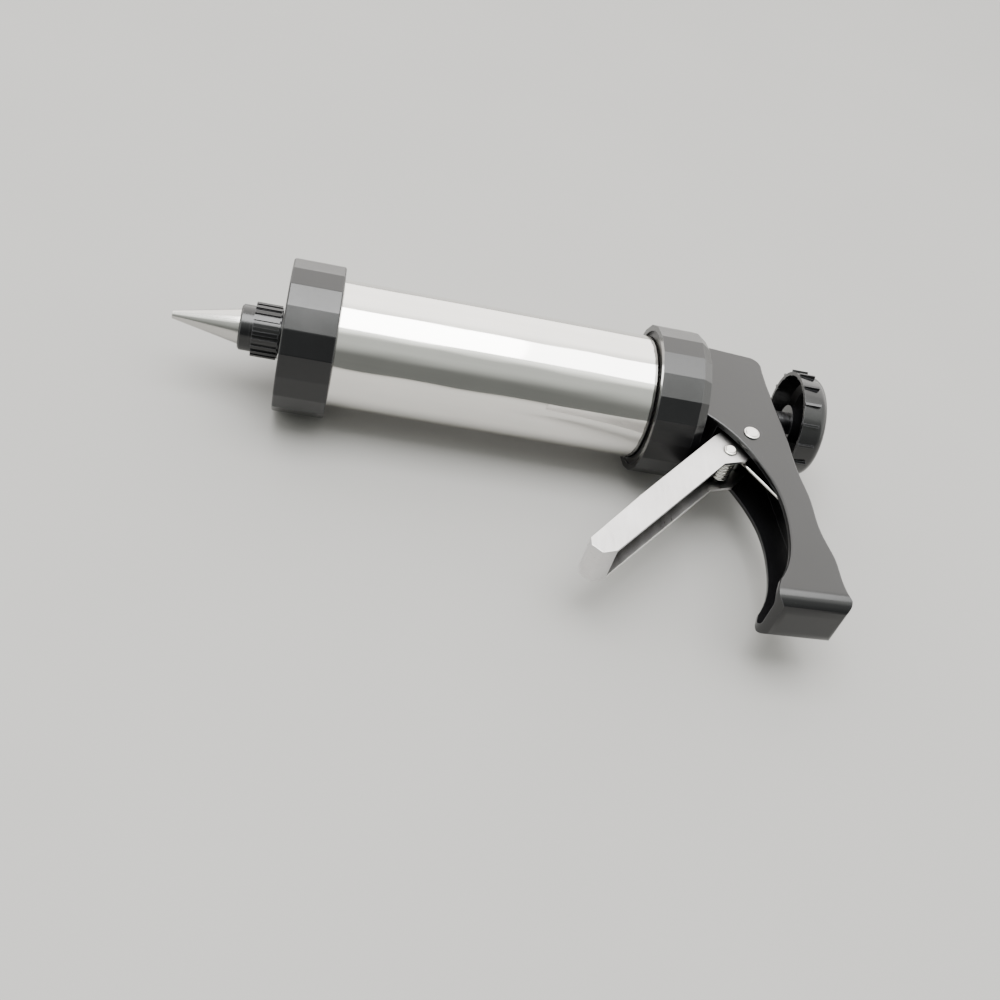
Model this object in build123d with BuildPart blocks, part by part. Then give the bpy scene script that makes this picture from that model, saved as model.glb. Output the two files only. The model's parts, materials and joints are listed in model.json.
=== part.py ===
from build123d import *
import os
from math import cos, pi, radians, sin

os.makedirs("parts", exist_ok=True)

# ---------------------------------------------------------------------------
# Frame: the press lies on its side. X runs along the barrel, with the nozzle
# towards -X. The handle reaches towards -Y. Z is up, and Z = 0 is the surface
# that the lowest facets of the two rings lie on. X = 0 is near the middle of
# the rear collar. All sizes are in millimetres.
# ---------------------------------------------------------------------------

# Faceted rings
facets = 20
ring_r = 33.5
facet_turn = 180 / facets
flat_r = ring_r * cos(radians(facet_turn))
axis_h = flat_r
ring_edge = 0.5
ring_bore_r = 30.7

# Rear collar, one moulding with the handle
collar_len = 18.7
collar_front = -9.9
collar_rear = collar_front + collar_len
collar_taper = 4.4
collar_taper_r = 30.4
collar_recess_r = 24.0
collar_recess = 3.0

# Barrel
barrel_r = 28.0
barrel_wall = 0.8
barrel_shown = 139.8
barrel_in_collar = 16.9

# Front ring cap
cap_len = 22.6
cap_lip = 2.5
cap_mouth_r = 24.5
cap_rear = collar_front - barrel_shown
cap_front = cap_rear - cap_len

# Screw threads, as rings that clear the smooth bore of the part screwed on
thread_gap = 0.3
barrel_thread_root_r = 29.2
barrel_thread_pitch = 4.0
barrel_thread_turns = 3

# Nozzle plate, coupler nut and filling tip
plate_t = 2.0
plate_r = 30.2
boss_r = 8.9
boss_bore_r = 7.3
boss_thread_r = 9.5
boss_thread_pitch = 2.5
boss_thread_turns = 3
boss_len = 15.3
nut_rear_gap = 1.2
nut_len = 17.4
nut_collar_len = 5.9
nut_collar_r = 10.0
nut_grip_r = 11.1
nut_bore_r = 9.8
nut_mouth_r = 8.0
nut_ribs = 22
nut_rib_h = 0.7
nut_rib_w = 1.7
tip_r = 7.75
tip_mouth_r = 1.7
tip_wall = 0.5
tip_len = 28.8
tip_flange_r = 9.3
tip_flange_t = 1.0

# Plunger
rod_r = 5.0
rod_root_r = 3.3
rod_flat = 3.3
rod_spigot_r = 3.5
rod_screw_r = 1.6
tooth_pitch = 5.0
tooth_crest = 1.6
tooth_ramp = 1.2
tooth_count = 35
piston_r = 26.9
piston_t = 8.0
piston_gap = 1.5
piston_web = 3.0
piston_hub_r = 10.0

# Knob
knob_front = collar_front + 69.3
knob_len = 12.6
knob_r = 24.0
knob_draft = 0.8
knob_wall = 2.4
knob_round = 4.5
knob_hub_r = 8.5
knob_ribs = 16
knob_rib_len = 7.4
knob_rib_h = 1.0
knob_rib_w = 1.1
knob_rib_turn = 2.0

# Handle. Points of its side view have their x measured back from handle_zero
handle_zero = -11.0
handle_t = 27.0
handle_wall = 2.5
handle_back = 2.8
handle_edge = 1.0
end_round = 8.0
end_back = (74.2, -117.7)
end_front = (51.0, -118.8)
channel_w = handle_t - 2 * handle_wall
neck_start = 21.5
neck_wall = 3.5
cavity_start = 28.0 + neck_wall
cavity_top = 9.0

# Trigger, its pivot and the drive pawl that it carries
pivot = (46.0, -26.2)
pivot_r = 2.5
spring_pin = (36.6, -34.9)
spring_pin_r = 2.0
squeeze = 35.0
sheet = 1.5
trigger_w = 18.6
pawl_arm = tooth_pitch / 2 / sin(radians(squeeze / 2))
pawl_pin = (pivot[0] + tooth_pitch / 2, pivot[1] + pawl_arm * cos(radians(squeeze / 2)))
pawl_pin_r = 1.6
pawl_tip = (43.5, -3.9)
pawl_t = 3.6
run_gap = 0.05

# Fastener heads
pivot_head_r = 3.5
pivot_head_h = 1.3
spring_pin_head_r = 2.8
spring_pin_head_h = 1.3

axis_plane = Plane(origin=(0, 0, axis_h), x_dir=(1, 0, 0), z_dir=(0, -1, 0))
mid_plane = Plane.XY.offset(axis_h)
barrel_axis = Axis((0, 0, axis_h), (1, 0, 0))


def across(x):
    """Plane across the barrel at x, with local x towards +Y and local y up."""
    return Plane(origin=(x, 0, axis_h), x_dir=(0, 1, 0), z_dir=(1, 0, 0))


def behind(x, y):
    """Point of the handle's side view, x measured back from handle_zero."""
    return (handle_zero + x, y)


def half_section(*points):
    """Closed half-section of (x, radius) points, to be revolved about the barrel."""
    with BuildSketch(axis_plane) as section:
        with BuildLine():
            Polyline(*points, close=True)
        make_face()
    return section.sketch


def side_disc(point, radius, half):
    """Disc about a pin through the handle, from its mid plane down by half."""
    with BuildSketch(mid_plane.offset(-half)) as disc:
        with Locations(behind(*point)):
            Circle(radius)
    return disc.sketch


def write(piece, name):
    """Label a finished piece and write it as its own node."""
    piece.part.label = name
    export_step(piece.part, "parts/" + name + ".step")


# ---------------------------------------------------------------------------
# Barrel
# ---------------------------------------------------------------------------
plate_front = cap_front + cap_lip
plate_rear = plate_front + plate_t
barrel_front = plate_rear + 0.2
barrel_rear = collar_front + barrel_in_collar
barrel_in_r = barrel_r - barrel_wall

with BuildPart() as barrel_tube:
    revolve(half_section((barrel_front, barrel_in_r), (barrel_rear, barrel_in_r),
                         (barrel_rear, barrel_r), (barrel_front, barrel_r)), axis=barrel_axis)
write(barrel_tube, "barrel_tube")

# Threaded sleeve bonded on the barrel's front end, with a shoulder behind the cap
thread_front = barrel_front + 0.8
shoulder_front = cap_rear - 2.6
thread_crest_r = ring_bore_r - thread_gap

with BuildPart() as barrel_front_thread:
    revolve(half_section((thread_front, barrel_r), (cap_rear, barrel_r),
                         (cap_rear, thread_crest_r), (shoulder_front, thread_crest_r),
                         (shoulder_front, barrel_thread_root_r),
                         (thread_front, barrel_thread_root_r)), axis=barrel_axis)
    for turn in range(barrel_thread_turns):
        crest = thread_front + barrel_thread_pitch * (turn + 0.6)
        root = barrel_thread_root_r - 0.3
        revolve(half_section((crest - 1.3, root), (crest + 1.3, root),
                             (crest + 0.5, thread_crest_r), (crest - 0.5, thread_crest_r)), axis=barrel_axis)
write(barrel_front_thread, "barrel_front_thread")

# Sleeve that fixes the barrel's rear end in the collar
with BuildPart() as barrel_rear_sleeve:
    revolve(half_section((collar_front + 1.2, barrel_r), (barrel_rear, barrel_r),
                         (barrel_rear, ring_bore_r), (collar_front + 1.2, ring_bore_r)), axis=barrel_axis)
write(barrel_rear_sleeve, "barrel_rear_sleeve")

# ---------------------------------------------------------------------------
# Nozzle end
# ---------------------------------------------------------------------------
with BuildPart() as front_ring_cap:
    with BuildSketch(across(cap_front)):
        RegularPolygon(ring_r, facets, rotation=facet_turn)
    extrude(amount=cap_len)
    chamfer(faces().sort_by(Axis.X)[0].edges() + faces().sort_by(Axis.X)[-1].edges(), length=ring_edge)
    with BuildSketch(across(cap_front)):
        Circle(cap_mouth_r)
    extrude(amount=cap_len, mode=Mode.SUBTRACT)
    with BuildSketch(across(plate_front)):
        Circle(ring_bore_r)
    extrude(amount=cap_len, mode=Mode.SUBTRACT)
write(front_ring_cap, "front_ring_cap")

boss_front = plate_front - boss_len

with BuildPart() as nozzle_plate:
    revolve(half_section((plate_front, boss_bore_r), (plate_rear, boss_bore_r),
                         (plate_rear, plate_r), (plate_front + 0.1, plate_r),
                         (plate_front + 0.1, cap_mouth_r - 0.8), (plate_front, cap_mouth_r - 1.6)),
            axis=barrel_axis)
    revolve(half_section((boss_front, boss_bore_r), (plate_rear, boss_bore_r),
                         (plate_rear, boss_r), (boss_front, boss_r)), axis=barrel_axis)
    for turn in range(boss_thread_turns):
        crest = boss_front + boss_thread_pitch * (turn + 0.7)
        revolve(half_section((crest - 0.9, boss_r - 0.3), (crest + 0.9, boss_r - 0.3),
                             (crest + 0.3, boss_thread_r), (crest - 0.3, boss_thread_r)), axis=barrel_axis)
write(nozzle_plate, "nozzle_plate")

nut_rear = cap_front - nut_rear_gap
nut_front = nut_rear - nut_len
grip_front = nut_front + nut_collar_len
flange_front = boss_front - 0.1 - tip_flange_t

with BuildPart() as nozzle_nut:
    revolve(half_section((nut_front, nut_mouth_r), (flange_front - 0.1, nut_mouth_r),
                         (flange_front - 0.1, nut_bore_r), (nut_rear, nut_bore_r),
                         (nut_rear, nut_grip_r), (grip_front, nut_grip_r),
                         (grip_front, nut_collar_r), (nut_front + 0.8, nut_collar_r),
                         (nut_front, nut_collar_r - 0.8)), axis=barrel_axis)
    with BuildSketch(across(grip_front)):
        with PolarLocations(nut_grip_r, nut_ribs):
            Rectangle(2 * nut_rib_h, nut_rib_w)
    extrude(amount=nut_rear - grip_front - 0.5)
write(nozzle_nut, "nozzle_nut")

with BuildPart() as filling_tip:
    tip_front = nut_front - tip_len
    revolve(half_section((tip_front, tip_mouth_r - tip_wall), (tip_front, tip_mouth_r),
                         (nut_front, tip_r), (flange_front, tip_r),
                         (flange_front, tip_flange_r), (flange_front + tip_flange_t, tip_flange_r),
                         (flange_front + tip_flange_t, tip_r - tip_wall),
                         (nut_front, tip_r - tip_wall)), axis=barrel_axis)
write(filling_tip, "filling_tip")

# ---------------------------------------------------------------------------
# Plunger
# ---------------------------------------------------------------------------
piston_front = plate_rear + piston_gap
piston_rear = piston_front + piston_t
hub_rear = piston_front + piston_t + 2.0
rod_shoulder = hub_rear + 1.3
seal_x = piston_front + 2.4

with BuildPart() as piston:
    revolve(half_section((piston_front, rod_spigot_r + run_gap), (hub_rear, rod_spigot_r + run_gap),
                         (hub_rear, piston_hub_r), (piston_front + piston_web, piston_hub_r),
                         (piston_front + piston_web, piston_r - 3.5), (piston_rear, piston_r - 2.5),
                         (piston_rear, piston_r), (piston_front + 0.6, piston_r),
                         (piston_front, piston_r - 0.6)), axis=barrel_axis)
    revolve(half_section((seal_x - 1.0, piston_r - 1.9), (seal_x + 1.0, piston_r - 1.9),
                         (seal_x + 1.0, piston_r + 1), (seal_x - 1.0, piston_r + 1)),
            axis=barrel_axis, mode=Mode.SUBTRACT)
    with BuildSketch(across(piston_front)):
        Circle(5.0)
    extrude(amount=1.4, mode=Mode.SUBTRACT)
write(piston, "piston")

with BuildPart() as piston_seal:
    revolve(half_section((seal_x - 0.9, piston_r - 1.8), (seal_x + 0.9, piston_r - 1.8),
                         (seal_x + 0.9, barrel_in_r - 0.3), (seal_x + 0.5, barrel_in_r - 0.06),
                         (seal_x - 0.5, barrel_in_r - 0.06), (seal_x - 0.9, barrel_in_r - 0.3)),
            axis=barrel_axis)
write(piston_seal, "piston_seal")

with BuildPart() as piston_washer:
    washer_front = hub_rear + 0.05
    washer_rear = rod_shoulder - 0.05
    revolve(half_section((washer_front, rod_spigot_r + run_gap), (washer_rear, rod_spigot_r + run_gap),
                         (washer_rear, 7.5), (washer_front, 7.5)), axis=barrel_axis)
write(piston_washer, "piston_washer")

# Screw through the front of the piston into the rod
with BuildPart() as piston_screw:
    revolve(half_section((piston_front + 0.1, 0), (piston_front + 12.0, 0),
                         (piston_front + 12.0, rod_screw_r), (piston_front + 1.3, rod_screw_r),
                         (piston_front + 1.3, 4.6), (piston_front + 0.6, 4.6),
                         (piston_front + 0.1, 3.6)), axis=barrel_axis)
    with BuildSketch(across(piston_front + 0.1)):
        Rectangle(6.0, 0.9)
        Rectangle(0.9, 6.0)
    extrude(amount=0.7, mode=Mode.SUBTRACT)
write(piston_screw, "piston_screw")

# The rod has ring-shaped ratchet teeth and a flat along one side. With the flat
# towards the pawls it slides freely. Turned half round, its teeth catch them.
rod_front = piston_front + 1.4
rod_end = knob_front + knob_len - knob_wall - 1.0
hub_front = knob_front + 1.0
tooth_start = behind(*pawl_tip)[0] - 0.9 - tooth_pitch * (tooth_count - 2)

with BuildPart() as plunger_rod:
    revolve(half_section((rod_front, 0), (rod_end, 0), (rod_end, rod_spigot_r), (hub_front, rod_spigot_r),
                         (hub_front, rod_r), (rod_shoulder, rod_r), (rod_shoulder, rod_spigot_r),
                         (rod_front, rod_spigot_r)), axis=barrel_axis)
    notches = []
    for tooth in range(tooth_count):
        wall = tooth_start + tooth_pitch * tooth
        ramp = wall + tooth_pitch - tooth_crest
        notches.append(half_section((wall, rod_root_r), (ramp - tooth_ramp, rod_root_r),
                                    (ramp, rod_r + 0.2), (wall, rod_r + 0.2)))
    for notch in notches:
        revolve(notch, axis=barrel_axis, mode=Mode.SUBTRACT)
    with BuildSketch(across(tooth_start - 4.0)):
        with Locations((-rod_flat - rod_r / 2, 0)):
            Rectangle(rod_r, 4 * rod_r)
    extrude(amount=tooth_pitch * tooth_count + 6.0, mode=Mode.SUBTRACT)
    for end, way in ((rod_front, 1), (rod_end, -1)):
        with BuildSketch(across(end)):
            Circle(rod_screw_r)
        extrude(amount=way * 12.0, mode=Mode.SUBTRACT)
write(plunger_rod, "plunger_rod")

# Knob: a cup that opens towards the handle, on a hub, with raised grip ribs
knob_rear = knob_front + knob_len
hub_floor = knob_rear - knob_wall

with BuildPart() as knob:
    with BuildSketch(axis_plane):
        with BuildLine():
            Line((knob_front, knob_r - knob_wall + 0.8), (knob_front, knob_r))
            Line((knob_front, knob_r), (knob_rear - knob_round, knob_r - knob_draft))
            RadiusArc((knob_rear - knob_round, knob_r - knob_draft),
                      (knob_rear, knob_r - knob_draft - knob_round), knob_round)
            Polyline((knob_rear, knob_r - knob_draft - knob_round), (knob_rear - 0.8, 13.0),
                     (knob_rear - 0.8, 5.2), (knob_rear - 2.3, 5.2),
                     (knob_rear - 2.3, rod_screw_r + run_gap), (rod_end, rod_screw_r + run_gap),
                     (rod_end, rod_spigot_r), (hub_front, rod_spigot_r), (hub_front, knob_hub_r),
                     (hub_floor, knob_hub_r), (hub_floor, knob_r - knob_wall - 3.0),
                     (hub_floor - 2.2, knob_r - knob_wall - 0.8),
                     (knob_front, knob_r - knob_wall + 0.8))
        make_face()
    revolve(axis=barrel_axis)
    with BuildSketch(across(knob_front)):
        with PolarLocations(knob_r - knob_rib_h / 2, knob_ribs, start_angle=knob_rib_turn):
            Rectangle(3 * knob_rib_h, knob_rib_w)
    extrude(amount=knob_rib_len)
write(knob, "knob")

with BuildPart() as knob_screw:
    revolve(half_section((knob_rear - 2.25, 0), (knob_rear - 2.25 - 8.0, 0),
                         (knob_rear - 2.25 - 8.0, rod_screw_r), (knob_rear - 2.25, rod_screw_r),
                         (knob_rear - 2.25, 4.6), (knob_rear - 1.4, 4.6),
                         (knob_rear - 0.6, 3.2), (knob_rear - 0.6, 0)), axis=barrel_axis)
    with BuildSketch(across(knob_rear - 0.6)):
        Rectangle(5.6, 0.9)
        Rectangle(0.9, 5.6)
    extrude(amount=-0.9, mode=Mode.SUBTRACT)
write(knob_screw, "knob_screw")

# ---------------------------------------------------------------------------
# Handle
# ---------------------------------------------------------------------------
back_edge = [behind(57.4, 19.5), behind(60.1, -3.7), behind(63.4, -25.0), behind(65.5, -46.4),
             behind(68.3, -60.5), behind(69.2, -73.0), behind(71.4, -84.0), behind(73.7, -92.0),
             behind(74.6, -101.0), behind(77.0, -112.0)]
finger_curve = [behind(47.4, -107.4), behind(52.6, -97.0), behind(55.4, -80.0), behind(54.0, -60.5),
                behind(48.6, -45.5), behind(36.2, -26.8), behind(25.0, -18.0)]
wall_hole_r = 7.5
leaf_x = cavity_start
leaf_screw_y = -15.0
leaf_screw_r = 1.0

# Channel for the trigger, open towards the fingers
with BuildPart() as channel:
    with BuildSketch(mid_plane.offset(-channel_w / 2)):
        with BuildLine():
            Polyline(behind(cavity_start, cavity_top), behind(58.0 - handle_back, cavity_top),
                     behind(60.1 - handle_back, -3.7))
            Spline(behind(60.1 - handle_back, -3.7), behind(66.0 - handle_back, -46.4),
                   behind(70.6 - handle_back, -78.0), behind(75.0 - handle_back, -106.0))
            Polyline(behind(75.0 - handle_back, -106.0), behind(70.0, -115.0), behind(50.5, -116.0),
                     behind(36.0, -112.0), behind(cavity_start, -60.0),
                     behind(cavity_start, cavity_top))
        make_face()
    extrude(amount=channel_w)
    flat_rims = edges().group_by(Axis.Z)[0] + edges().group_by(Axis.Z)[-1]
    fillet(flat_rims.filter_by(lambda rim: rim.center().Y < -113), end_round - handle_wall)

with BuildPart() as handle_body:
    with BuildSketch(mid_plane.offset(-handle_t / 2)):
        with BuildLine():
            Line(behind(neck_start, 29.0), behind(52.4, 26.3))
            ThreePointArc(behind(52.4, 26.3), behind(56.0, 24.2), back_edge[0])
            Spline(*back_edge)
            ThreePointArc(back_edge[-1], behind(76.4, -116.3), behind(*end_back))
            Line(behind(*end_back), behind(*end_front))
            ThreePointArc(behind(*end_front), behind(47.0, -116.2), behind(46.2, -111.0))
            Line(behind(46.2, -111.0), finger_curve[0])
            Spline(*finger_curve)
            Polyline(finger_curve[-1], behind(neck_start, -15.2), behind(neck_start, 29.0))
        make_face()
    extrude(amount=handle_t)
    rims = edges().group_by(Axis.Z)[0] + edges().group_by(Axis.Z)[-1]
    fillet(rims.filter_by(lambda rim: rim.center().X > behind(neck_start, 0)[0] + 0.5), handle_edge)
    # Well rounded end of the grip
    along = Vector(*end_back) - Vector(*end_front)
    start = Vector(*behind(*end_front), axis_h) - along
    with BuildSketch(Plane(origin=start, x_dir=(-along.Y, along.X, 0), z_dir=along)):
        for side in (-1, 1):
            with Locations((end_round / 2 - 1, side * (handle_t / 2 - end_round / 2 + 1))):
                Rectangle(end_round + 2, end_round + 2)
        for side in (-1, 1):
            with Locations((end_round, side * (handle_t / 2 - end_round))):
                Circle(end_round, mode=Mode.SUBTRACT)
    extrude(amount=3 * along.length, mode=Mode.SUBTRACT)
    with BuildSketch(across(collar_front)):
        RegularPolygon(ring_r, facets, rotation=facet_turn)
    extrude(amount=collar_len)
    with BuildSketch(across(collar_rear)):
        RegularPolygon(ring_r, facets, rotation=facet_turn)
    with BuildSketch(across(collar_rear + collar_taper)):
        RegularPolygon(collar_taper_r, facets, rotation=facet_turn)
    loft()
    with BuildSketch(across(collar_front)):
        Circle(ring_bore_r)
    extrude(amount=barrel_in_collar, mode=Mode.SUBTRACT)
    with BuildSketch(across(collar_front)):
        Circle(collar_recess_r)
    extrude(amount=barrel_in_collar + collar_recess, mode=Mode.SUBTRACT)
    add(channel.part, mode=Mode.SUBTRACT)
    # Seats of the two rod bushes
    with BuildSketch(across(collar_front)):
        Circle(wall_hole_r)
    extrude(amount=80.0, mode=Mode.SUBTRACT)
    extrude(side_disc(pivot, pivot_r + 0.02, handle_t / 2 + 1), amount=handle_t + 2, mode=Mode.SUBTRACT)
    with BuildSketch(across(behind(leaf_x, 0)[0])):
        with Locations((leaf_screw_y, 0)):
            Circle(leaf_screw_r)
    extrude(amount=-neck_wall - 2.0, mode=Mode.SUBTRACT)
write(handle_body, "handle_body")

# Bushes that guide the rod in the collar's end wall and in the handle's back
front_seat = collar_front + barrel_in_collar + collar_recess
front_seat_end = behind(cavity_start, 0)[0]

with BuildPart() as front_rod_bush:
    revolve(half_section((front_seat - 1.6, rod_r + run_gap), (front_seat_end, rod_r + run_gap),
                         (front_seat_end, wall_hole_r), (front_seat, wall_hole_r),
                         (front_seat, 10.0), (front_seat - 1.6, 10.0)), axis=barrel_axis)
write(front_rod_bush, "front_rod_bush")

rear_seat = behind(57.0, 0)[0]

with BuildPart() as rear_rod_bush:
    revolve(half_section((rear_seat - 4.0, rod_r + run_gap), (rear_seat + 4.4, rod_r + run_gap),
                         (rear_seat + 4.4, 6.6), (rear_seat + 3.6, wall_hole_r),
                         (rear_seat - 4.0, wall_hole_r)), axis=barrel_axis)
write(rear_rod_bush, "rear_rod_bush")

# Leaf spring that holds the rod between strokes, screwed to the neck's front wall
leaf_t = 0.6
leaf_w = 4.6
leaf_tip = (pawl_tip[0] - 2 * tooth_pitch, pawl_tip[1] - 0.3)

with BuildPart() as holding_leaf:
    with BuildSketch(mid_plane.offset(-leaf_w / 2)):
        with BuildLine():
            Polyline(behind(leaf_x + leaf_t / 2 + 0.05, -18.5), behind(leaf_x + leaf_t / 2 + 0.05, -10.8),
                     behind(leaf_x + 3.4, -8.6), behind(*leaf_tip))
            offset(amount=leaf_t / 2, side=Side.BOTH)
        make_face()
    extrude(amount=leaf_w)
    with BuildSketch(across(behind(leaf_x, 0)[0])):
        with Locations((leaf_screw_y, 0)):
            Circle(leaf_screw_r + 0.05)
    extrude(amount=2.0, mode=Mode.SUBTRACT)
write(holding_leaf, "holding_leaf")

with BuildPart() as holding_leaf_screw:
    with BuildSketch(across(behind(leaf_x - neck_wall - 1.0, 0)[0])):
        with Locations((leaf_screw_y, 0)):
            Circle(leaf_screw_r)
    extrude(amount=neck_wall + 1.0 + leaf_t + 0.2)
    with BuildSketch(across(behind(leaf_x + leaf_t + 0.1, 0)[0])):
        with Locations((leaf_screw_y, 0)):
            Circle(2.1)
    extrude(amount=1.0)
write(holding_leaf_screw, "holding_leaf_screw")

# ---------------------------------------------------------------------------
# Trigger
# ---------------------------------------------------------------------------
trigger_outline = [behind(30.0, -27.4), behind(36.5, -21.0), behind(43.5, -14.0), behind(48.5, -13.4),
                   behind(53.0, -16.0), behind(54.0, -22.0), behind(51.0, -30.0), behind(43.4, -39.7),
                   behind(33.3, -43.3), behind(15.6, -63.4), behind(-10.5, -93.4), behind(-18.5, -102.4),
                   behind(-24.5, -104.6), behind(-29.0, -101.4), behind(-29.2, -97.6), behind(-6.7, -70.2)]

with BuildPart() as trigger:
    with BuildSketch(mid_plane.offset(-trigger_w / 2)) as flange:
        with BuildLine():
            Polyline(*trigger_outline, close=True)
        make_face()
        fillet(flange.vertices().group_by(Axis.Y)[0], 1.0)
    extrude(amount=trigger_w)
    with BuildSketch(mid_plane.offset(-trigger_w / 2 + sheet)):
        with BuildLine():
            Polyline(behind(30.0 + sheet * 1.3, -27.4), behind(-6.7 + sheet * 1.3, -70.2),
                     behind(-27.6, -97.4), behind(-27.4, -100.8), behind(-24.2, -103.0),
                     behind(-19.0, -101.4), behind(-8.0, -108.0), behind(80.0, -60.0),
                     behind(80.0, 0.0), behind(28.0, 0.0), behind(25.2, -31.0), close=True)
        make_face()
    extrude(amount=trigger_w - 2 * sheet, mode=Mode.SUBTRACT)
    for hole, hole_r in ((pivot, pivot_r + run_gap), (spring_pin, spring_pin_r), (pawl_pin, pawl_pin_r)):
        extrude(side_disc(hole, hole_r, trigger_w), amount=2 * trigger_w, mode=Mode.SUBTRACT)
write(trigger, "trigger")


def rivet(point, radius, half, head_r, head_h):
    """Sketch-and-height steps of a rivet through the handle: shank, then the two heads."""
    return [(side_disc(point, radius, half), 2 * half),
            (side_disc(point, head_r, half + head_h * 0.6), head_h * 0.6),
            (side_disc(point, head_r * 0.8, half + head_h), head_h * 0.4),
            (side_disc(point, head_r, -half), head_h * 0.6),
            (side_disc(point, head_r * 0.8, -half - head_h * 0.6), head_h * 0.4)]


with BuildPart() as trigger_pivot_rivet:
    for disc, height in rivet(pivot, pivot_r, handle_t / 2, pivot_head_r, pivot_head_h):
        extrude(disc, amount=height)
write(trigger_pivot_rivet, "trigger_pivot_rivet")

with BuildPart() as spring_rivet:
    for disc, height in rivet(spring_pin, spring_pin_r, trigger_w / 2,
                              spring_pin_head_r, spring_pin_head_h):
        extrude(disc, amount=height)
write(spring_rivet, "spring_rivet")

with BuildPart() as drive_pawl_pin:
    for disc, height in rivet(pawl_pin, pawl_pin_r, trigger_w / 2, 2.6, 0.9):
        extrude(disc, amount=height)
write(drive_pawl_pin, "drive_pawl_pin")

# Washers that centre the trigger between the handle's walls
washer_t = channel_w / 2 - trigger_w / 2 - 0.1

with BuildPart() as pivot_washers:
    for base in (trigger_w / 2 + 0.05, -channel_w / 2 + 0.05):
        with BuildSketch(mid_plane.offset(base)):
            with Locations(behind(*pivot)):
                Circle(4.6)
                Circle(pivot_r + run_gap, mode=Mode.SUBTRACT)
        extrude(amount=washer_t)
write(pivot_washers, "pivot_washers")

# Drive pawl, carried by the trigger, which pushes the rod forward tooth by tooth
with BuildPart() as drive_pawl:
    with BuildSketch(mid_plane.offset(-pawl_t / 2)):
        with BuildLine():
            Polyline(behind(pawl_pin[0] - 3.2, pawl_pin[1] - 0.5),
                     behind(pawl_tip[0] - 0.7, pawl_tip[1] - 2.4),
                     behind(pawl_tip[0] - 0.7, pawl_tip[1]),
                     behind(pawl_tip[0] + 0.5, pawl_tip[1]),
                     behind(pawl_tip[0] + 2.6, pawl_tip[1] - 2.4),
                     behind(pawl_pin[0] + 3.2, pawl_pin[1] + 0.5),
                     close=True)
        make_face()
        with Locations(behind(*pawl_pin)):
            Circle(3.2)
    extrude(amount=pawl_t)
    extrude(side_disc(pawl_pin, 2.8, trigger_w / 2 - sheet - 0.1), amount=trigger_w - 2 * sheet - 4.2)
    extrude(side_disc(pawl_pin, pawl_pin_r + run_gap, trigger_w), amount=2 * trigger_w, mode=Mode.SUBTRACT)
write(drive_pawl, "drive_pawl")

# ---------------------------------------------------------------------------
# Springs
# ---------------------------------------------------------------------------
def spring_path(pin, mean_r, pitch, turns, low_z, first_turn, low_leg, high_leg):
    """Leg, coil and leg of a torsion spring on a pin, wound clockwise going up."""
    x, y = behind(*pin)
    base = Plane(origin=(x, y, axis_h + low_z), z_dir=(0, 0, 1),
                 x_dir=(cos(radians(first_turn)), sin(radians(first_turn)), 0))
    with BuildLine() as path:
        coil = base.location * Helix(pitch, pitch * turns, mean_r, lefthand=True, mode=Mode.PRIVATE)
        Line(coil @ 0 - (coil % 0) * low_leg, coil @ 0)
        add(coil)
        Line(coil @ 1, coil @ 1 + (coil % 1) * high_leg)
    return path.line


wire_r = 0.75
coil_first_turn = 122.8
coil_turns = 6 + 88.1 / 360

with BuildPart() as torsion_spring:
    spring_line = spring_path(spring_pin, 3.9, 1.8, coil_turns, -5.9, coil_first_turn, 13.0, 38.0)
    with BuildSketch(Plane(origin=spring_line @ 0, z_dir=spring_line % 0)):
        Circle(wire_r)
    sweep(path=spring_line)
write(torsion_spring, "torsion_spring")

with BuildPart() as drive_pawl_spring:
    pawl_line = spring_path(pawl_pin, 2.35, 0.72, 4.25, 4.1, 200.0, 5.0, 6.0)
    with BuildSketch(Plane(origin=pawl_line @ 0, z_dir=pawl_line % 0)):
        Circle(0.3)
    sweep(path=pawl_line)
write(drive_pawl_spring, "drive_pawl_spring")
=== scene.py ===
import json
from math import cos, pi, radians, sin, tan

import bmesh
import bpy
from mathutils import Matrix, Vector


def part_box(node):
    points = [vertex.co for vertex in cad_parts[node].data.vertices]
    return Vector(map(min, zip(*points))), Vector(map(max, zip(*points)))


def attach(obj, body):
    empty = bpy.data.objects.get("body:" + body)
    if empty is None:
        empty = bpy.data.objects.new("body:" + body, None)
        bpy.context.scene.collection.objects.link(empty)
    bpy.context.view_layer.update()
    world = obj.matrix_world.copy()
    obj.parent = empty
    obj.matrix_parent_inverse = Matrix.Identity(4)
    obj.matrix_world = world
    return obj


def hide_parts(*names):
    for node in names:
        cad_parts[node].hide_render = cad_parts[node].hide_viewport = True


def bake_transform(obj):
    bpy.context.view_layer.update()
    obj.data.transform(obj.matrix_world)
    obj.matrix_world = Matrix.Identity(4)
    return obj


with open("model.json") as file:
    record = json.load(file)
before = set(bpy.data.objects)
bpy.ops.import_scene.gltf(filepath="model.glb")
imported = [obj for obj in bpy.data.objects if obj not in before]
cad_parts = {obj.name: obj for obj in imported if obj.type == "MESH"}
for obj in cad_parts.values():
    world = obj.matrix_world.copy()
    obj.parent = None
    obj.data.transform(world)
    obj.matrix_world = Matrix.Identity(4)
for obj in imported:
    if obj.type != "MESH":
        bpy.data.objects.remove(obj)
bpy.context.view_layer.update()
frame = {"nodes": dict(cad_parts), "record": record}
body_of = {node: body for body, nodes in frame["record"]["behaviour"]["bodies"].items() for node in nodes}
slot_of = {row["node"]: row["material_slot"] for row in frame["record"]["subparts"]}

MM = 0.001

# The barrel's axis, and the ends of the pieces along it, come from the frame
barrel_low, barrel_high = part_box("barrel_tube")
axis_y = (barrel_low.y + barrel_high.y) / 2
axis_z = (barrel_low.z + barrel_high.z) / 2
barrel_r = (barrel_high.z - barrel_low.z) / 2

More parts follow.
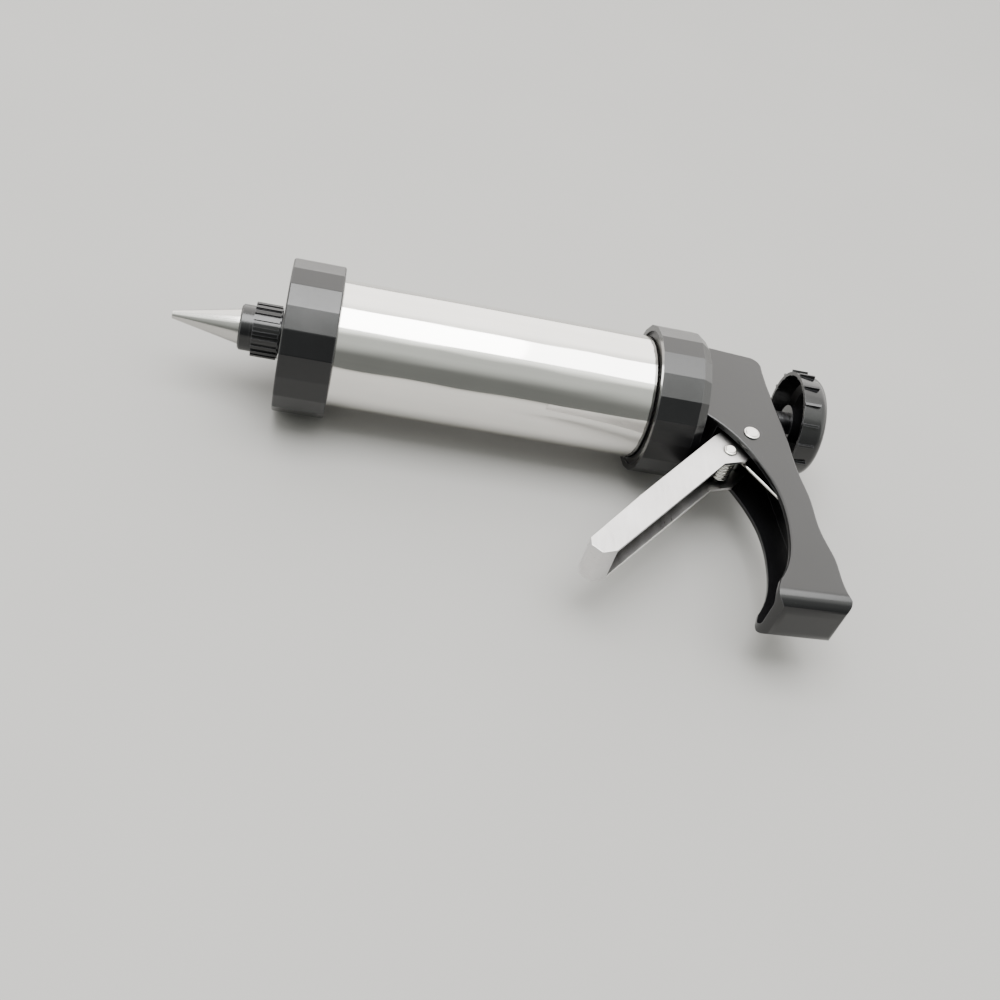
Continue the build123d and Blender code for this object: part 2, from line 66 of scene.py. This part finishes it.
# The rear collar's facets end a little behind the sleeve that is fixed in it
collar_past_sleeve = 7.5 * MM
collar_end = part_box("barrel_rear_sleeve")[1].x + collar_past_sleeve

# Two neighbouring facets of a ring meet at more than this angle, in degrees
facet_bend = 12


# ---------------------------------------------------------------------------
# Materials
# ---------------------------------------------------------------------------
class Shader:
    """A Principled material with small helpers for the nodes that vary its surface."""

    def __init__(self, name, color, metallic, roughness, **constants):
        self.material = bpy.data.materials.new(name)
        self.material.use_nodes = True
        self.tree = self.material.node_tree
        self.surface = self.tree.nodes["Principled BSDF"]
        self.surface.inputs["Base Color"].default_value = (*color, 1)
        self.surface.inputs["Metallic"].default_value = metallic
        self.surface.inputs["Roughness"].default_value = roughness
        for socket, value in constants.items():
            self.surface.inputs[socket.replace("_", " ")].default_value = value
        self.coordinates = self.tree.nodes.new("ShaderNodeTexCoord").outputs["Object"]
        self.bumps = None

    def node(self, kind, **values):
        made = self.tree.nodes.new(kind)
        for key, value in values.items():
            setattr(made, key, value)
        return made

    def link(self, output, socket):
        self.tree.links.new(output, socket)

    def noise(self, stretch, detail=4.0, rough=0.55):
        """Noise over the object, with its own scale per axis (waves per metre)."""
        mapping = self.node("ShaderNodeMapping")
        mapping.inputs["Scale"].default_value = stretch
        self.link(self.coordinates, mapping.inputs["Vector"])
        noise = self.node("ShaderNodeTexNoise")
        noise.inputs["Scale"].default_value = 1.0
        noise.inputs["Detail"].default_value = detail
        noise.inputs["Roughness"].default_value = rough
        self.link(mapping.outputs["Vector"], noise.inputs["Vector"])
        return noise.outputs["Fac"]

    def remap(self, value, low, high, to_low, to_high):
        remap = self.node("ShaderNodeMapRange")
        remap.inputs["From Min"].default_value = low
        remap.inputs["From Max"].default_value = high
        remap.inputs["To Min"].default_value = to_low
        remap.inputs["To Max"].default_value = to_high
        self.link(value, remap.inputs["Value"])
        return remap.outputs["Result"]

    def add(self, first, second):
        plus = self.node("ShaderNodeMath", operation="ADD")
        self.link(first, plus.inputs[0])
        self.link(second, plus.inputs[1])
        return plus.outputs["Value"]

    def edges(self, radius):
        """About 1 on sharp edges and 0 on open surface."""
        bevel = self.node("ShaderNodeBevel", samples=4)
        bevel.inputs["Radius"].default_value = radius
        geometry = self.node("ShaderNodeNewGeometry")
        dot = self.node("ShaderNodeVectorMath", operation="DOT_PRODUCT")
        self.link(bevel.outputs["Normal"], dot.inputs[0])
        self.link(geometry.outputs["Normal"], dot.inputs[1])
        return self.remap(dot.outputs["Value"], 0.99, 0.85, 0.0, 1.0)

    def open_air(self, reach):
        """About 1 on open surface and 0 deep inside a recess."""
        hidden = self.node("ShaderNodeAmbientOcclusion", samples=6)
        hidden.inputs["Distance"].default_value = reach
        return self.remap(hidden.outputs["AO"], 0.6, 0.92, 0.0, 1.0)

    def vary_color(self, value, dark, light):
        mix = self.node("ShaderNodeMix", data_type="RGBA")
        self.link(value, mix.inputs["Factor"])
        mix.inputs["A"].default_value = (*dark, 1)
        mix.inputs["B"].default_value = (*light, 1)
        self.link(mix.outputs["Result"], self.surface.inputs["Base Color"])
        return mix

    def vary_roughness(self, value):
        self.link(value, self.surface.inputs["Roughness"])

    def bump(self, value, depth):
        """Adds a layer of relief, depth in metres."""
        bump = self.node("ShaderNodeBump")
        bump.inputs["Strength"].default_value = 1.0
        bump.inputs["Distance"].default_value = depth
        self.link(value, bump.inputs["Height"])
        if self.bumps:
            self.link(self.bumps, bump.inputs["Normal"])
        self.bumps = bump.outputs["Normal"]
        self.link(self.bumps, self.surface.inputs["Normal"])


def polished_steel(name, color, roughness, lines, line_depth, wave=0.0):
    """Mirror-finished steel with faint buffing lines, handling marks and slow waves."""
    shader = Shader(name, color, 1.0, roughness)
    buffing = shader.noise(lines, detail=6.0)
    smudges = shader.noise((38, 38, 38), detail=3.0)
    streaks = shader.noise((5, 150, 150), detail=5.0)
    tone = shader.add(shader.remap(smudges, 0.3, 0.7, 0.0, 0.4), shader.remap(streaks, 0.3, 0.7, 0.0, 0.6))
    shader.vary_color(tone, [c * 0.88 for c in color], color)
    wear = shader.add(shader.remap(smudges, 0.42, 0.7, 0.0, 0.05),
                      shader.remap(buffing, 0.3, 0.8, roughness * 0.8, roughness * 1.5))
    shader.vary_roughness(shader.add(wear, shader.remap(shader.edges(0.3 * MM), 0.0, 1.0, 0.0, 0.12)))
    shader.bump(shader.noise((11, 75, 75), detail=2.0), wave)
    shader.bump(buffing, line_depth)
    return shader.material


def brushed_steel(name, color, roughness, lines):
    """Satin steel: fine brush lines, an uneven tone, brighter worn edges and painted shade that darkens
    its recesses.
    """
    shader = Shader(name, color, 1.0, roughness)
    edge_width = 0.35 * MM
    edge_color = (0.93, 0.92, 0.9)
    recess_reach = 14 * MM
    brush = shader.noise(lines, detail=8.0, rough=0.7)
    cloud = shader.noise((60, 60, 60), detail=3.0)
    tone = shader.add(shader.remap(brush, 0.2, 0.8, 0.0, 0.6), shader.remap(cloud, 0.3, 0.7, 0.0, 0.4))
    mix = shader.vary_color(tone, [c * 0.76 for c in color], color)
    worn = shader.node("ShaderNodeMix", data_type="RGBA")
    shader.link(shader.edges(edge_width), worn.inputs["Factor"])
    shader.link(mix.outputs["Result"], worn.inputs["A"])
    worn.inputs["B"].default_value = (*edge_color, 1)
    # Painted shade: deep inside recesses the colour falls to near black, standing in for the shade there
    painted_recess_shade = shader.node("ShaderNodeMix", data_type="RGBA")
    shader.link(shader.open_air(recess_reach), painted_recess_shade.inputs["Factor"])
    painted_recess_shade.inputs["A"].default_value = (*[c * 0.05 for c in color], 1)
    shader.link(worn.outputs["Result"], painted_recess_shade.inputs["B"])
    shader.link(painted_recess_shade.outputs["Result"], shader.surface.inputs["Base Color"])
    shader.vary_roughness(shader.add(shader.remap(brush, 0.25, 0.75, roughness * 0.8, roughness * 1.2),
                                     shader.remap(cloud, 0.45, 0.75, 0.0, 0.06)))
    shader.bump(brush, 0.004 * MM)
    return shader.material


def moulded_plastic(name, color, edge_color, roughness, relief):
    """Moulded plastic: faint ripple from the tool, fine scuffs and slightly rubbed edges."""
    shader = Shader(name, color, 0.0, roughness)
    shader.surface.inputs["IOR"].default_value = 1.52
    ripple = shader.noise((170, 170, 170), detail=3.0)
    scuffs = shader.noise((900, 260, 900), detail=6.0, rough=0.75)
    cloud = shader.noise((45, 45, 45), detail=2.0)
    mix = shader.vary_color(cloud, [c * 0.75 for c in color], [c * 1.3 for c in color])
    rubbed = shader.node("ShaderNodeMix", data_type="RGBA")
    shader.link(shader.edges(0.5 * MM), rubbed.inputs["Factor"])
    shader.link(mix.outputs["Result"], rubbed.inputs["A"])
    rubbed.inputs["B"].default_value = (*edge_color, 1)
    shader.link(rubbed.outputs["Result"], shader.surface.inputs["Base Color"])
    shader.vary_roughness(shader.add(shader.remap(scuffs, 0.55, 0.85, roughness, roughness + 0.14),
                                     shader.remap(cloud, 0.3, 0.7, -0.02, 0.03)))
    shader.bump(ripple, relief)
    shader.bump(scuffs, 0.003 * MM)
    return shader.material


materials = {
    "polished_steel": polished_steel("mirror_barrel_steel", (0.90, 0.88, 0.845), 0.045,
                                     lines=(2600, 90, 90), line_depth=0.0012 * MM, wave=0.28 * MM),
    "tip_steel": polished_steel("drawn_tip_steel", (0.57, 0.56, 0.54), 0.16,
                                lines=(2200, 220, 220), line_depth=0.004 * MM),
    "rivet_steel": polished_steel("rivet_steel", (0.88, 0.86, 0.82), 0.14,
                                  lines=(900, 900, 900), line_depth=0.010 * MM),
    "spring_steel": polished_steel("spring_wire", (0.90, 0.88, 0.84), 0.13,
                                   lines=(700, 700, 700), line_depth=0.008 * MM),
    "rod_steel": brushed_steel("turned_rod_steel", (0.30, 0.30, 0.31), 0.30, lines=(1800, 60, 60)),
    "brushed_sheet": brushed_steel("satin_trigger_sheet", (0.75, 0.735, 0.735), 0.30,
                                   lines=(500, 60, 1400)),
    "gloss_black": moulded_plastic("gloss_black_plastic", (0.004, 0.004, 0.0045),
                                   (0.05, 0.05, 0.053), 0.20, relief=0.012 * MM),
    "black_plastic": moulded_plastic("satin_black_plastic", (0.009, 0.009, 0.0095),
                                     (0.05, 0.05, 0.052), 0.38, relief=0.010 * MM),
    "white_nylon": moulded_plastic("natural_nylon", (0.70, 0.69, 0.64),
                                   (0.78, 0.77, 0.73), 0.42, relief=0.008 * MM),
    "seal_silicone": moulded_plastic("silicone_seal", (0.62, 0.61, 0.57),
                                     (0.70, 0.69, 0.66), 0.50, relief=0.006 * MM),
}


# ---------------------------------------------------------------------------
# Mesh helpers
# ---------------------------------------------------------------------------
def stand_for(node, mesh):
    """Puts a mesh in the scene as the visible piece for a CAD node."""
    piece = bpy.data.objects.new(node + "_piece", mesh)
    bpy.context.scene.collection.objects.link(piece)
    mesh.materials.clear()
    mesh.materials.append(materials[slot_of[node]])
    mesh.shade_smooth()
    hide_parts(node)
    return piece


def clean_copy(node):
    """The CAD node's shape with whole flat faces in place of triangles."""
    built = bmesh.new()
    built.from_mesh(frame["nodes"][node].data)
    bmesh.ops.remove_doubles(built, verts=built.verts, dist=0.002 * MM)
    bmesh.ops.dissolve_limit(built, angle_limit=radians(0.6), verts=built.verts, edges=built.edges)
    return built


def hard_edges(built, angle, facet_end=None):
    """Edges sharper than the angle, and before facet_end along X also those between two facets."""
    chosen = []
    for edge in built.edges:
        if len(edge.link_faces) != 2:
            continue
        bend = edge.calc_face_angle(0)
        on_ring = facet_end is not None and all(v.co.x < facet_end for v in edge.verts)
        if bend > radians(angle) or (on_ring and bend > radians(facet_bend)):
            chosen.append(edge)
    return chosen


def softened(node, width, segments=2, angle=32, facet_end=None):
    """A CAD node's shape with its hard edges rounded, as a moulding or pressing has them."""
    built = clean_copy(node)
    weight = built.edges.layers.float.new("bevel_weight_edge")
    for edge in hard_edges(built, angle, facet_end):
        edge[weight] = 1
    mesh = bpy.data.meshes.new(node + "_soft")
    built.to_mesh(mesh)
    built.free()
    piece = stand_for(node, mesh)
    bevel = piece.modifiers.new("round_edges", "BEVEL")
    bevel.width = width
    bevel.segments = segments
    bevel.limit_method = "WEIGHT"
    bevel.use_clamp_overlap = True
    normals = piece.modifiers.new("flat_faces", "WEIGHTED_NORMAL")
    normals.weight = 80
    normals.keep_sharp = True
    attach(piece, body_of[node])
    return piece


def plain(node, sharp=30):
    """A CAD node's shape as it is, smooth where it is curved."""
    built = clean_copy(node)
    mesh = bpy.data.meshes.new(node + "_plain")
    built.to_mesh(mesh)
    built.free()
    piece = stand_for(node, mesh)
    mesh.set_sharp_from_angle(angle=radians(sharp))
    return piece


def lathe(node, profile, sides=192, sharp=30):
    """Revolves a closed half-section of (x, radius) points about the barrel's axis."""
    built = bmesh.new()
    rings = []
    for k in range(sides):
        turn = 2 * pi * k / sides
        side, rise = cos(turn), sin(turn)
        rings.append([built.verts.new((x, axis_y + r * side, axis_z + r * rise)) for x, r in profile])
    count = len(profile)
    for k in range(sides):
        here, after = rings[k], rings[(k + 1) % sides]
        for i in range(count):
            j = (i + 1) % count
            built.faces.new((here[i], here[j], after[j], after[i]))
    bmesh.ops.recalc_face_normals(built, faces=built.faces)
    mesh = bpy.data.meshes.new(node + "_turned")
    built.to_mesh(mesh)
    built.free()
    piece = stand_for(node, mesh)
    mesh.set_sharp_from_angle(angle=radians(sharp))
    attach(piece, body_of[node])
    return piece


def rounded(points, radius, steps=4):
    """The closed outline with each corner replaced by an arc of at most that radius."""
    result = []
    count = len(points)
    for i in range(count):
        before, corner, after = (Vector(points[(i + k) % count]) for k in (-1, 0, 1))
        way_in, way_out = (before - corner), (after - corner)
        reach = min(radius, way_in.length * 0.45, way_out.length * 0.45)
        start = corner + way_in.normalized() * reach
        end = corner + way_out.normalized() * reach
        for s in range(steps + 1):
            t = s / steps
            result.append(tuple(start * (1 - t) ** 2 + corner * 2 * t * (1 - t) + end * t * t))
    return result


# ---------------------------------------------------------------------------
# Pieces
# ---------------------------------------------------------------------------
def barrel():
    wall = 0.8 * MM
    inside = barrel_r - wall
    ends = (barrel_low.x, barrel_high.x)
    section = [(ends[0], inside), (ends[1], inside), (ends[1], barrel_r), (ends[0], barrel_r)]
    lathe("barrel_tube", rounded(section, 0.25 * MM), sides=256)


def torsion_spring():
    """The spring's shape as it is, baked in place; the end of its long leg, farthest from the spring
    rivet, is found but not used.
    """
    piece = plain("torsion_spring")
    rivet = sum(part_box("spring_rivet"), Vector()) / 2
    leg_end = max((v.co for v in piece.data.vertices), key=lambda point: (point - rivet).xy.length)
    leg_end.copy()
    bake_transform(piece)


barrel()
torsion_spring()
softened("front_ring_cap", 0.4 * MM, angle=facet_bend)
softened("handle_body", 0.4 * MM, angle=40, facet_end=collar_end)
softened("nozzle_nut", 0.22 * MM)
softened("knob", 0.35 * MM, segments=3)
softened("trigger", 0.5 * MM, segments=3)
softened("trigger_pivot_rivet", 0.5 * MM, segments=3)
softened("spring_rivet", 0.5 * MM, segments=3)
softened("filling_tip", 0.15 * MM)
for node in ("barrel_front_thread", "nozzle_plate", "piston", "drive_pawl", "knob_screw", "plunger_rod"):
    softened(node, 0.15 * MM)
for node in ("barrel_rear_sleeve", "front_rod_bush", "rear_rod_bush", "piston_seal", "piston_washer",
             "piston_screw", "pivot_washers", "drive_pawl_pin", "drive_pawl_spring", "holding_leaf",
             "holding_leaf_screw"):
    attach(plain(node), body_of[node])


# ---------------------------------------------------------------------------
# Floor, light and camera
# ---------------------------------------------------------------------------
# Radiance of the room: dim in front of the press, brighter overhead and behind it
front_light = 0.2
haze_light = 0.55
top_light = 2.3
rear_light = 3.4

# Two softboxes side by side overhead, with their front and rear edges as angles from the vertical
softbox_height = 1.5
softbox_angles = (-19.5, 18)
softbox_left = -0.75
softbox_split = 0.2
softbox_right = 0.85
bright_radiance = 12.0
fill_radiance = 7.0

# Angles over which the room gets brighter, from its front wall to its rear one
wall_angles = (-66, -42)
ceiling_angles = (-32, -21)
rear_angles = (18, 34)
tint_angles = (-50, 60)
front_tint = (0.96, 1.0, 0.945)
rear_tint = (1.0, 0.975, 0.94)

# The camera in the frame: its place, and the ways that its back and its top point
camera_place = Vector((-0.15758, -0.41911, 0.40027))
camera_back = Vector((-0.162328, -0.672676, 0.721912)).normalized()
camera_up = Vector((-0.15653, 0.739907, 0.654246)).normalized()
camera_sensor = 36.0
camera_lens = 45.1


def floor():
    """A plain pale floor."""
    built = bmesh.new()
    half = 30.0
    corners = [(-half, -half, 0), (half, -half, 0), (half, half, 0), (-half, half, 0)]
    built.faces.new([built.verts.new(corner) for corner in corners])
    mesh = bpy.data.meshes.new("floor")
    built.to_mesh(mesh)
    built.free()
    plane = bpy.data.objects.new("floor", mesh)
    bpy.context.scene.collection.objects.link(plane)
    shader = Shader("pale_floor", (0.27, 0.265, 0.257), 0.0, 0.7)
    shader.vary_color(shader.noise((7, 7, 7), detail=2.0), (0.258, 0.253, 0.246), (0.28, 0.275, 0.267))
    mesh.materials.append(shader.material)


def softbox(name, left, right, radiance):
    """A rectangular light straight above the press, with an even radiance."""
    front, rear = (softbox_height * tan(radians(angle)) for angle in softbox_angles)
    light = bpy.data.lights.new(name, "AREA")
    light.shape = "RECTANGLE"
    light.size = right - left
    light.size_y = rear - front
    light.energy = radiance * pi * light.size * light.size_y
    lamp = bpy.data.objects.new(name, light)
    lamp.location = ((left + right) / 2, (front + rear) / 2, axis_z + softbox_height)
    bpy.context.scene.collection.objects.link(lamp)


def studio():
    """A room that is bright above and behind the press and dim in front of it."""
    world = bpy.data.worlds.new("studio")
    world.use_nodes = True
    tree = world.node_tree
    background = tree.nodes["Background"]
    direction = tree.nodes.new("ShaderNodeTexCoord").outputs["Generated"]
    axes = tree.nodes.new("ShaderNodeSeparateXYZ")
    tree.links.new(direction, axes.inputs["Vector"])
    # The angle from the upright plane through the barrel's axis, negative towards the front
    angle = tree.nodes.new("ShaderNodeMath")
    angle.operation = "ARCSINE"
    tree.links.new(axes.outputs["Y"], angle.inputs[0])

    def step(start, end, low, high):
        """Rises smoothly from low to high between two angles in degrees."""
        rise = tree.nodes.new("ShaderNodeMapRange")
        rise.interpolation_type = "SMOOTHSTEP"
        rise.inputs["From Min"].default_value = radians(start)
        rise.inputs["From Max"].default_value = radians(end)
        rise.inputs["To Min"].default_value = low
        rise.inputs["To Max"].default_value = high
        tree.links.new(angle.outputs["Value"], rise.inputs["Value"])
        return rise.outputs["Result"]

    def total(first, second):
        plus = tree.nodes.new("ShaderNodeMath")
        plus.operation = "ADD"
        tree.links.new(first, plus.inputs[0])
        tree.links.new(second, plus.inputs[1])
        return plus.outputs["Value"]

    wall = step(*wall_angles, front_light, front_light + haze_light)
    ceiling = step(*ceiling_angles, 0.0, top_light - haze_light)
    rear = step(*rear_angles, 0.0, rear_light - top_light)
    tree.links.new(total(total(wall, ceiling), rear), background.inputs["Strength"])
    tint = tree.nodes.new("ShaderNodeMix")
    tint.data_type = "RGBA"
    tree.links.new(step(*tint_angles, 0.0, 1.0), tint.inputs["Factor"])
    tint.inputs["A"].default_value = (*front_tint, 1)
    tint.inputs["B"].default_value = (*rear_tint, 1)
    tree.links.new(tint.outputs["Result"], background.inputs["Color"])
    bpy.context.scene.world = world


def camera():
    """The press seen from above its handle side, with the barrel sloping down to the right."""
    lens = bpy.data.cameras.new("camera")
    lens.sensor_width = camera_sensor
    lens.lens = camera_lens
    lens.clip_start = 0.01
    view = bpy.data.objects.new("camera", lens)
    turn = Matrix((camera_up.cross(camera_back), camera_up, camera_back)).transposed()
    view.matrix_world = Matrix.Translation(camera_place) @ turn.to_4x4()
    bpy.context.scene.collection.objects.link(view)
    bpy.context.scene.camera = view


floor()
studio()
softbox("bright_softbox", softbox_left, softbox_split, bright_radiance)
softbox("fill_softbox", softbox_split, softbox_right, fill_radiance)
camera()
